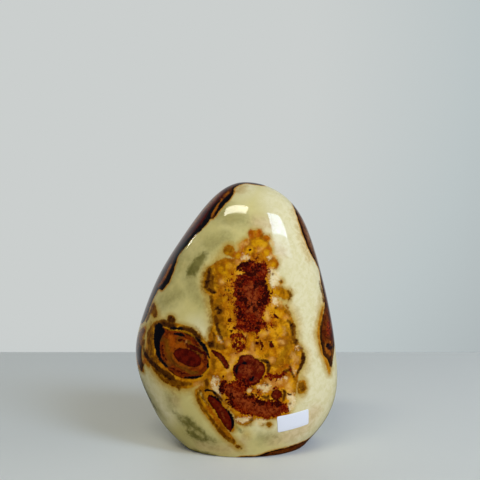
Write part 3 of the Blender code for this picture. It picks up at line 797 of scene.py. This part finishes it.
def add_object(name, data):
    """A new object in the scene."""
    thing = bpy.data.objects.new(name, data)
    bpy.context.scene.collection.objects.link(thing)
    return thing


def add_mesh(name, points, faces):
    """A new mesh object in the scene, from points in metres."""
    mesh = bpy.data.meshes.new(name)
    mesh.from_pydata(points, [], faces)
    mesh.shade_smooth()
    return add_object(name, mesh)


def make_stone():
    """The fine surface, with the markings' distance fields stored on its points."""
    columns = np.linspace(0, 2 * math.pi, COLUMNS, endpoint=False)
    turn = columns - math.pi / 2 - FRONT_CROWDING * np.sin(columns)
    climbs = np.linspace(0, 1, ROWS)[:-1] ** BASE_CROWDING
    inner = np.linspace(0, 1, BASE_ROWS, endpoint=False)[1:]
    rings = [surface(0.0, turn, inwards) for inwards in inner]
    rings += [surface(climbed, turn) for climbed in climbs]
    # After the rings come the middle of the base and the apex.
    points = np.vstack((*rings, surface(0.0, 0.0, 0.0), surface(1.0, 0.0, 0.0)))
    count = len(rings)
    turns = np.append(np.tile(np.degrees(turn), count), (0, 0))
    ring_heights = np.append(np.full(len(inner), LOWEST), height_at(climbs))
    heights = np.append(np.repeat(ring_heights, COLUMNS), (LOWEST, HEIGHT))
    here = np.arange(COLUMNS)
    after = np.roll(here, -1)
    low = np.arange(count - 1)[:, None] * COLUMNS
    high = low + COLUMNS
    quads = np.stack((low + here, low + after, high + after, high + here), -1).reshape(-1, 4)
    bottom = count * COLUMNS
    last = bottom - COLUMNS
    caps = [(bottom, int(b), int(a)) for a, b in zip(here, after)]
    caps += [(bottom + 1, int(last + a), int(last + b)) for a, b in zip(here, after)]
    stone = add_mesh("jasper", (points * MM).tolist(), quads.tolist() + caps)
    for name, field in marking_fields(points, turns, heights).items():
        attribute = stone.data.attributes.new(name, "FLOAT", "POINT")
        attribute.data.foreach_set("value", field.astype(np.float32))
    return stone


def linear(color):
    """An sRGB colour of 0 to 255 as linear RGBA."""
    parts = [part / 255 for part in color]
    return [p / 12.92 if p <= 0.04045 else ((p + 0.055) / 1.055) ** 2.4 for p in parts] + [1]


class Graph:
    """The node tree of a material or a world, built by calls that return sockets."""

    def __init__(self, owner, shader="Principled BSDF"):
        owner.use_nodes = True
        self.owner = owner
        self.tree = owner.node_tree
        self.shader = self.tree.nodes[shader]

    def feed(self, node, inputs):
        """Links a node's inputs to sockets, or sets them to values."""
        for name, value in inputs.items():
            if isinstance(value, bpy.types.NodeSocket):
                self.tree.links.new(value, node.inputs[name])
            else:
                node.inputs[name].default_value = value

    def node(self, kind, inputs, output=0, **settings):
        """One output of a new node with these inputs and settings."""
        node = self.tree.nodes.new(kind)
        for name, value in settings.items():
            setattr(node, name, value)
        self.feed(node, inputs)
        return node.outputs[output]

    def math(self, operation, *values):
        return self.node("ShaderNodeMath", dict(enumerate(values)), operation=operation)

    def vector(self, operation, inputs, output=0):
        return self.node("ShaderNodeVectorMath", inputs, output, operation=operation)

    def mix(self, amount, first, second):
        inputs = {0: amount, 6: first, 7: second}
        return self.node("ShaderNodeMix", inputs, 2, data_type="RGBA")

    def ramp(self, value, stops):
        """A colour by a value, from stops of a place from 0 to 1 and an sRGB colour."""
        color = self.node("ShaderNodeValToRGB", {0: value})
        elements = color.node.color_ramp.elements
        while len(elements) < len(stops):
            elements.new(0.5)
        for element, (place, shade) in zip(elements, stops):
            element.position = place
            element.color = linear(shade)
        return color

    def coordinates(self):
        """The object's own coordinates, in mm."""
        place = self.node("ShaderNodeTexCoord", {}, "Object")
        return self.vector("SCALE", {0: place, "Scale": 1 / MM})

    def noise(self, place, size, detail, roughness, distortion=0.0):
        """Noise from 0 to 1 whose lumps are about size mm."""
        inputs = {"Vector": place, "Scale": 1 / size, "Detail": detail}
        inputs |= {"Roughness": roughness, "Distortion": distortion}
        return self.node("ShaderNodeTexNoise", inputs, "Fac")

    def lobes(self, place, size):
        """0 at scattered points about size mm apart, and more away from them."""
        inputs = {"Vector": place, "Scale": 1 / size}
        return self.node("ShaderNodeTexVoronoi", inputs, "Distance", feature="F1")

    def field(self, name):
        return self.node("ShaderNodeAttribute", {}, "Fac", attribute_name=name)

    def within(self, value, start, full, most=1.0, least=0.0, easing="SMOOTHSTEP"):
        """From least where the value is at start, to most where it is at full."""
        inputs = {"Value": value, "From Min": start, "From Max": full}
        inputs |= {"To Min": least, "To Max": most}
        return self.node("ShaderNodeMapRange", inputs, interpolation_type=easing)


# The noises in the stone: size in mm, detail, roughness and distortion.
NOISES = {
    "cloud": (30, 3, 0.5, 0.6),
    "patchy": (9, 4, 0.55, 0.3),
    "mottle": (3.2, 4, 0.6, 0.4),
    "grain": (1.1, 3, 0.6),
    "clots": (1.7, 4, 0.62, 0.3),
    "streaks": (1.5, 4, 0.66, 0.8),
    "dots": (0.9, 2, 0.5),
}

# The edges of the main fields: the noise that roughens one coarsely, how far that noise and the
# grain move it in mm, the distances at which its colour starts and is full, and how much it covers.
EDGES = {
    "ochre": ("mottle", 0.8, 0.6, 0.5, -0.5, 1.0),
    "umber": ("mottle", 0.4, 0.3, 0.3, -0.3, 1.0),
    "rind": ("mottle", 1.0, 0.4, 0.3, -0.2, 1.0),
    "maroon": ("mottle", 1.2, 0.9, 0.3, -0.3, 1.0),
    "red": ("clots", 2.6, 2.4, 0.4, -0.4, 1.0),
    "brick": ("mottle", 3.0, 1.8, 1.2, -2.2, 0.78),
    "fleck": ("clots", 5.0, 4.0, 0.8, -0.4, 0.88),
    "black": ("mottle", 0.8, 0.8, 0.35, -0.3, 1.0),
}

# The layers of colour, each from the lowest: its field, how far mottle and grain roughen its edge
# in mm, the distances at which it starts and is full, how much it covers, and the two colours that
# mottling mixes.
GROUND_LAYERS = (
    ("pale", 4.0, 0.5, 9.0, -7.0, 1.0, (217, 205, 156), (225, 214, 172)),
    ("tan", 2.5, 0.6, 4.0, -4.0, 0.5, (190, 152, 104), (210, 176, 128)),
    ("haze", 2.5, 0.6, 4.0, -5.0, 0.6, (128, 118, 62), (150, 138, 78)),
    # The smudge layer paints real smudges and, along the base on the left, painted shade.
    ("smudge", 2.4, 0.6, 1.9, -1.3, 0.78, (78, 72, 14), (102, 94, 32)),
    ("stain", 2.4, 1.0, 3.5, -3.0, 0.6, (170, 124, 40), (200, 160, 70)),
)
OCHRE_LAYERS = (
    ("olive", 3.0, 1.5, 1.4, -1.4, 0.75, (108, 64, 2), (146, 94, 6)),
    ("burnt", 2.0, 1.5, 1.0, -1.0, 0.8, (152, 66, 2), (182, 90, 10)),
    # The salmon layer also paints one glint in the big orb.
    ("salmon", 3.0, 2.5, 1.5, -1.5, 0.65, (208, 140, 56), (230, 182, 100)),
    ("gold", 1.4, 1.0, 0.9, -0.9, 0.8, (190, 126, 2), (216, 157, 10)),
    ("rims", 1.6, 1.2, 0.9, -0.3, 0.7, (130, 72, 4), (158, 94, 8)),
    # The cream layer also paints a glint in the lens under the big orb.
    ("cream", 3.0, 3.0, 1.2, -0.8, 0.85, (220, 190, 124), (236, 216, 172)),
)
BROWN_LAYERS = (
    ("amber", 1.0, 0.8, 0.9, -0.4, 0.85, (132, 62, 8), (178, 104, 20)),
    ("brown", 0.9, 0.7, 0.8, -0.3, 0.9, (84, 42, 3), (124, 76, 8)),
    ("dark", 0.8, 0.6, 0.8, -0.3, 0.92, (34, 10, 2), (70, 34, 6)),
    ("ember", 1.4, 1.0, 0.7, -0.3, 0.9, (74, 22, 0), (114, 52, 4)),
    ("russet", 1.6, 0.8, 1.0, -3.2, 0.9, (96, 58, 26), (140, 100, 70)),
)

# The tones of the ground, the ochre and the red, each by a noise.
GROUND_TONES = ((0.3, (195, 180, 112)), (0.5, (208, 193, 124)), (0.72, (219, 205, 141)))
OCHRE_TONES = (
    (0.4, (130, 70, 1)),
    (0.48, (166, 92, 2)),
    (0.56, (192, 120, 4)),
    (0.66, (216, 150, 20)),
)
RED_TONES = (
    (0.38, (56, 5, 1)),
    (0.46, (90, 11, 2)),
    (0.54, (114, 26, 3)),
    (0.62, (150, 60, 10)),
)

# The bands of the rind and of the big orb, from the edge inwards, as shares of a depth in mm, and
# how far noise sways them in mm.
RIND_DEPTH = 16.0
RIND_SWAY = 3.0
RIND_AND_SHEEN_BANDS = (
    (0.0, (24, 6, 2)),
    (0.07, (18, 5, 3)),
    (0.12, (70, 28, 5)),
    (0.2, (96, 46, 10)),
    (0.3, (70, 22, 5)),
    (0.42, (60, 8, 2)),
    (0.55, (96, 30, 10)),
    # From 0.7 on, the paler browns are partly the rind's own colour and partly painted sheen: the
    # room's light mirrored near the stone's edge.
    (0.7, (148, 92, 50)),
    (0.82, (112, 58, 34)),
    (1.0, (156, 108, 74)),
)
UMBER_DEPTH = 12.0
UMBER_SWAY = 5.0
UMBER_BANDS = (
    (0.0, (60, 20, 2)),
    (0.06, (134, 52, 3)),
    (0.2, (98, 30, 2)),
    (0.3, (148, 62, 5)),
    (0.45, (104, 38, 2)),
    (0.6, (154, 74, 6)),
    (1.0, (116, 42, 3)),
)

# Tints over a colour: the noise or the edge that one goes by, the values at which it starts and is
# full, how much it covers, and its colour.
TINTS = {
    "ground": (("patchy", 0.5, 0.75, 0.35, (192, 170, 98)),),
    "layered ground": (
        ("grain", 0.58, 0.72, 0.12, (150, 136, 80)),
        ("ochre", 3.2, -0.2, 0.8, (182, 144, 52)),
    ),
    "ochre": (
        ("ochre", -3.5, -0.2, 0.45, (140, 88, 6)),
        ("grain", 0.53, 0.66, 0.35, (206, 144, 40)),
        ("grain", 0.45, 0.34, 0.4, (138, 76, 3)),
    ),
    "umber": (
        ("clots", 0.52, 0.38, 0.7, (76, 24, 3)),
        ("patchy", 0.52, 0.64, 0.6, (104, 64, 10)),
    ),
    "round the rind": (("rind", 1.7, 0.2, 0.9, (186, 124, 30)),),
    "rind": (("clots", 0.46, 0.36, 0.7, (24, 6, 4)),),
    "maroon": (("maroon", -1.2, -0.2, 0.7, (45, 4, 2)),),
}

# What decides between the ochre's tones: the size in mm of its rounded lobes, a base value, and how
# much of the lobes and of two noises is added to it.
LOBE_SIZE = 5.0
OCHRE_BASE = 0.24
OCHRE_SHARES = {"lobes": -0.25, "patchy": 0.4, "mottle": 0.45}

# Crumbs and specks: values of noises, or distances from edges, at which they start and are full and
# how much they cover, and their colours.
MOTTLING = (0.36, 0.62)
REDDISH = (0.3, -0.3)
MAROON_COLORS = ((62, 5, 2), (96, 18, 4))
BRICK_MIXING = (0.4, 0.6)
BRICK_COLORS = ((86, 18, 4), (150, 66, 24))
SPECK_FIELD = (1.0, -1.0)
SPECK_DOTS = (0.58, 0.64)
SPECK_COLOR = (100, 30, 5)
RED_RIM = (-4.5, -0.6)
RIM_STREAKS = (0.5, 0.4, 0.6)
RIM_COLOR = (60, 8, 4)
FLECK_COLOR = (38, 4, 3)
BLACK_COLOR = (8, 6, 12)

POLISH_ROUGHNESS = 0.06
JASPER_IOR = 1.54


def jasper_material():
    g = Graph(bpy.data.materials.new("polished_jasper"))
    mm = g.coordinates()
    at = {name: g.noise(mm, *noise) for name, noise in NOISES.items()}
    at["lobes"] = g.lobes(mm, LOBE_SIZE)
    mottling = g.within(at["mottle"], *MOTTLING)

    def swayed(value, noise, size):
        """A value that noise moves up or down by up to size."""
        return g.math("ADD", value, g.math("MULTIPLY_ADD", noise, 2 * size, -size))

    def ragged(name, lumps, coarse, fine):
        """A field with its edge roughened by a coarse noise and the grain, in mm."""
        return swayed(swayed(g.field(name), at[lumps], coarse), at["grain"], fine)

    def banded(name, depth, sway, bands):
        """Bands by how deep a point lies inside an edge."""
        inside = swayed(g.math("MULTIPLY", at[name], -1), at["patchy"], sway)
        return g.ramp(g.math("DIVIDE", inside, depth), bands)

    def mixed(share, colors):
        return g.mix(share, *[linear(color) for color in colors])

    def layered(color, layers):
        for name, coarse, fine, start, full, most, *colors in layers:
            amount = g.within(ragged(name, "mottle", coarse, fine), start, full, most)
            color = g.mix(amount, color, mixed(mottling, colors))
        return color

    def tinted(color, tints):
        for name, start, full, most, tint in TINTS[tints]:
            color = g.mix(g.within(at[name], start, full, most), color, linear(tint))
        return color

    def both(first, second):
        return g.math("MULTIPLY", first, second)

    cover = {}
    for name, (lumps, coarse, fine, start, full, most) in EDGES.items():
        at[name] = ragged(name, lumps, coarse, fine)
        cover[name] = g.within(at[name], start, full, most)

    ground = tinted(g.ramp(at["cloud"], GROUND_TONES), "ground")
    ground = tinted(layered(ground, GROUND_LAYERS), "layered ground")
    golden = OCHRE_BASE
    for name, share in OCHRE_SHARES.items():
        golden = g.math("MULTIPLY_ADD", at[name], share, golden)
    ochre = tinted(g.ramp(golden, OCHRE_TONES), "ochre")
    color = g.mix(cover["ochre"], ground, ochre)

    umber = tinted(banded("umber", UMBER_DEPTH, UMBER_SWAY, UMBER_BANDS), "umber")
    color = layered(g.mix(cover["umber"], color, umber), OCHRE_LAYERS)

    # The rind's bands, whose paler outer part is partly painted sheen.
    rind = tinted(banded("rind", RIND_DEPTH, RIND_SWAY, RIND_AND_SHEEN_BANDS), "rind")
    color = g.mix(cover["rind"], tinted(color, "round the rind"), rind)
    color = layered(color, BROWN_LAYERS)

    color = g.mix(cover["maroon"], color, tinted(mixed(mottling, MAROON_COLORS), "maroon"))
    color = g.mix(cover["red"], color, g.ramp(at["streaks"], RED_TONES))
    speck = both(g.within(g.field("speck"), *SPECK_FIELD), g.within(at["dots"], *SPECK_DOTS))
    color = g.mix(speck, color, linear(SPECK_COLOR))

    in_red = g.within(at["red"], *REDDISH)
    reddish = g.math("MAXIMUM", in_red, cover["maroon"])
    bricks = mixed(g.within(at["clots"], *BRICK_MIXING), BRICK_COLORS)
    color = g.mix(both(cover["brick"], reddish), color, bricks)
    rim = both(g.within(at["red"], *RED_RIM), in_red)
    rim_specks = both(rim, g.within(at["streaks"], *RIM_STREAKS))
    color = g.mix(rim_specks, color, linear(RIM_COLOR))
    color = g.mix(both(cover["fleck"], reddish), color, linear(FLECK_COLOR))
    color = g.mix(cover["black"], color, linear(BLACK_COLOR))

    g.feed(g.shader, {"Base Color": color, "Roughness": POLISH_ROUGHNESS, "IOR": JASPER_IOR})
    return g.owner


# The label's middle on the stone, which way it faces (degrees right of the front, and down from
# level), how far its right end is turned up, its paper, and how far out the rays start that lay it
# on the stone.
LABEL_PLACE = (33.2, -30.3, 22.4)
LABEL_HEADING = 23.0
LABEL_DIP = 11.5
LABEL_TURN = 7.5
LABEL_LENGTH = 20.0
LABEL_WIDTH = 10.0
LABEL_CORNER = 0.8
LABEL_THICKNESS = 0.12
LABEL_LIFT = 0.04
LABEL_CELLS = (60, 30)
LABEL_RAYS = 9.0


def make_label(stone):
    """A sheet of paper with round corners, laid on the fine surface."""
    tree = BVHTree.FromObject(stone, bpy.context.evaluated_depsgraph_get())
    place = (
        Matrix.Translation(LABEL_PLACE)
        @ Matrix.Rotation(math.radians(LABEL_HEADING), 4, "Z")
        @ Matrix.Rotation(math.radians(90 + LABEL_DIP), 4, "X")
        @ Matrix.Rotation(math.radians(LABEL_TURN), 4, "Z")
    )
    inwards = -(place.to_3x3() @ Vector((0, 0, 1)))
    columns, rows = LABEL_CELLS
    half = np.array((LABEL_LENGTH, LABEL_WIDTH)) / 2
    points = []
    for v in np.linspace(-1, 1, rows + 1):
        for u in np.linspace(-1, 1, columns + 1):
            flat = np.array((u, v)) * half
            over = np.maximum(np.abs(flat) - (half - LABEL_CORNER), 0)
            reach = np.linalg.norm(over)
            if reach > LABEL_CORNER:
                over *= LABEL_CORNER / reach
                flat = np.sign(flat) * (half - LABEL_CORNER + over)
            start = (place @ Vector((*flat, LABEL_RAYS))) * MM
            hit, normal, _, _ = tree.ray_cast(start, inwards)
            points.append(hit + normal * LABEL_LIFT * MM)
    faces = []
    for row in range(rows):
        for column in range(columns):
            corner = row * (columns + 1) + column
            faces.append((corner, corner + 1, corner + columns + 2, corner + columns + 1))
    label = add_mesh("paper_label", points, faces)
    paper = label.modifiers.new("paper", "SOLIDIFY")
    paper.thickness = LABEL_THICKNESS * MM
    paper.offset = 1
    return label


# The paper's two tones, its roughness, the noise of its fibres as in the stone, and how strongly
# and how high in mm they stand out.
PAPER_TONES = ((226, 227, 235), (235, 236, 243))
PAPER_ROUGHNESS = 0.55
FIBRES = (0.5, 4, 0.6)
FIBRE_STRENGTH = 0.15
FIBRE_HEIGHT = 0.05


def paper_material():
    g = Graph(bpy.data.materials.new("label_paper"))
    fibres = g.noise(g.coordinates(), *FIBRES)
    tone = g.mix(fibres, *[linear(tone) for tone in PAPER_TONES])
    raised = {"Strength": FIBRE_STRENGTH, "Distance": FIBRE_HEIGHT * MM, "Height": fibres}
    bump = g.node("ShaderNodeBump", raised)
    g.feed(g.shader, {"Base Color": tone, "Roughness": PAPER_ROUGHNESS, "Normal": bump})
    return g.owner


TABLE_BACK = 242.0
TABLE_FRONT = -1500.0
TABLE_SIDE = 1500.0
TABLE_COLOR = (219, 219, 213)
TABLE_ROUGHNESS = 0.5


def make_table():
    """The table's top, which lights the stone but isn't mirrored in its polish."""
    sides = (-TABLE_SIDE * MM, TABLE_SIDE * MM)
    corners = [(x, y * MM, 0) for y in (TABLE_FRONT, TABLE_BACK) for x in sides]
    table = add_mesh("table", corners, [(0, 1, 3, 2)])
    table.visible_glossy = False
    g = Graph(bpy.data.materials.new("table"))
    g.feed(g.shader, {"Base Color": linear(TABLE_COLOR), "Roughness": TABLE_ROUGHNESS})
    table.data.materials.append(g.owner)
    return table


# The room's colours, by how far a direction turns from the front right (0) towards the wall behind
# (1), which the camera looks at.
ROOM_BRIGHTENS = (-0.25, 0.955, 0.15)
ROOM = (
    (0.0, (34, 35, 36)),
    (0.55, (48, 50, 52)),
    (0.79, (76, 80, 82)),
    (0.87, (168, 176, 178)),
    (0.925, (188, 197, 198)),
    (0.97, (203, 207, 206)),
)
# How far a direction points up where the room's light starts to fall, and where no more than this
# share of it is left. Only the polish sees the room as far down as that.
DIM_FROM = -0.24
DIM_TO = -0.33
DIM_SHARE = 0.2


def make_world():
    g = Graph(bpy.data.worlds.new("studio"), "Background")
    direction = g.node("ShaderNodeTexCoord", {}, "Generated")

    def along(axis, low, high, least=0.0):
        """From least at low to 1 at high, by how far a direction points along an axis."""
        share = g.vector("DOT_PRODUCT", {0: direction, 1: axis}, "Value")
        return g.within(share, low, high, 1.0, least, "LINEAR")

    room = g.ramp(along(ROOM_BRIGHTENS, -1, 1), ROOM)
    share = along((0, 0, 1), DIM_TO, DIM_FROM, DIM_SHARE)
    g.feed(g.shader, {"Color": g.vector("SCALE", {0: room, "Scale": share})})
    bpy.context.scene.world = g.owner


def add_panel(name, centre, facing, across, width, height, power, color=(255, 255, 255)):
    """A rectangular lamp at centre that shines along facing, with its width along across."""
    lamp = bpy.data.lights.new(name, "AREA")
    lamp.shape = "RECTANGLE"
    lamp.size = width * MM
    lamp.size_y = height * MM
    lamp.energy = power
    lamp.color = linear(color)[:3]
    panel = add_object(name, lamp)
    out = -Vector(facing).normalized()
    right = (Vector(across) - Vector(across).dot(out) * out).normalized()
    turned = Matrix((right, out.cross(right), out)).transposed().to_4x4()
    panel.matrix_world = Matrix.Translation(Vector(centre) * MM) @ turned
    return panel


# The lamps, each as its middle, the way it shines, the way its width runs, its width, height and
# power, and its colour if it isn't white. The polish doesn't mirror the two soft ones.
SKYLIGHT = ((-460, -720, 1546), (0, 0, -1), (0.94, -0.34, 0), 880, 250, 8.2, (255, 252, 232))
SOFT_LAMPS = {
    "fill": ((200, -1300, 650), (-0.1, 1, -0.42), (1, 0.1, 0), 1200, 900, 6.8),
    "side": ((900, -240, 260), (-0.95, 0.25, -0.2), (0.25, 0.95, 0), 900, 900, 4.5),
}

# The tall window on the right front: the point of the stone that it is set out from, how far off it
# is, the way to it and the way its width runs. Each pane's place sideways and up, its width and its
# height are shares of that distance, and then comes its power.
WINDOW_FROM = Vector((22, -22, 125))
WINDOW_DISTANCE = 1400
WINDOW_TOWARD = Vector((0.309, -0.951, 0))
WINDOW_ASIDE = Vector((0.951, 0.309, 0))
WINDOW_PANES = {
    "window": (0.66, 1.10, 0.64, 0.70, 28),
    "window_middle": (0.60, 1.02, 0.26, 0.50, 5),
    "window_foot": (0.66, 0.60, 0.66, 0.30, 3.0),
}
DAYLIGHT = (198, 222, 255)

# The slit on the far left, set out from the stone in the same way.
SLIT_FROM = Vector((-43, -5, 118))
SLIT_DISTANCE = 1500
SLIT_TOWARD = Vector((-0.82, 0.136, 0.556))
SLIT_ACROSS = (0.136, 0.82, 0)
SLIT_SIZE = (24, 108)
SLIT_POWER = 0.26


def make_lights():
    """A skylight up on the left, a tall window on the right front, a slit on the far left, and two
    large soft lamps.
    """
    add_panel("skylight", *SKYLIGHT)
    for name, (aside, up, width, height, power) in WINDOW_PANES.items():
        way = WINDOW_TOWARD + aside * WINDOW_ASIDE + Vector((0, 0, up))
        size = (WINDOW_DISTANCE * width, WINDOW_DISTANCE * height)
        centre = WINDOW_FROM + WINDOW_DISTANCE * way
        add_panel(name, centre, -WINDOW_TOWARD, WINDOW_ASIDE, *size, power, DAYLIGHT)
    centre = SLIT_FROM + SLIT_DISTANCE * SLIT_TOWARD
    add_panel("slit", centre, -SLIT_TOWARD, SLIT_ACROSS, *SLIT_SIZE, SLIT_POWER)
    for name, lamp in SOFT_LAMPS.items():
        add_panel(name, *lamp).visible_glossy = False


# The camera: its place, how far it looks down, its focal length and sensor width, and the nearest
# thing it shows.
CAMERA_PLACE = (2.3, -460.7, 162.0)
CAMERA_DOWN = 4.6
CAMERA_LENS = 57.1
CAMERA_SENSOR = 36
CAMERA_NEAR = 10.0


def make_camera():
    camera = add_object("camera", bpy.data.cameras.new("camera"))
    camera.location = [part * MM for part in CAMERA_PLACE]
    camera.rotation_euler = (math.radians(90 - CAMERA_DOWN), 0, 0)
    camera.data.lens = CAMERA_LENS
    camera.data.sensor_width = CAMERA_SENSOR
    camera.data.clip_start = CAMERA_NEAR * MM
    bpy.context.scene.camera = camera


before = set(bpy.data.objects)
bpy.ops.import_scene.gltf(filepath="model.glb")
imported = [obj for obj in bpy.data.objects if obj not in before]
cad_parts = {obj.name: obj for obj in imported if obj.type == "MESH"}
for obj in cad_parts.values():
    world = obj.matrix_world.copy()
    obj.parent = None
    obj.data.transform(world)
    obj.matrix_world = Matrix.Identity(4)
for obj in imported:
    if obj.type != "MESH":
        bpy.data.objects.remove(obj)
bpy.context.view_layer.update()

stone = make_stone()
stone.data.materials.append(jasper_material())
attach(stone, "root")
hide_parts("stone")

label = make_label(stone)
label.data.materials.append(paper_material())
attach(label, "root")
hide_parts("price_label")

make_table()
make_world()
make_lights()
make_camera()
bpy.context.scene.view_settings.view_transform = "Standard"
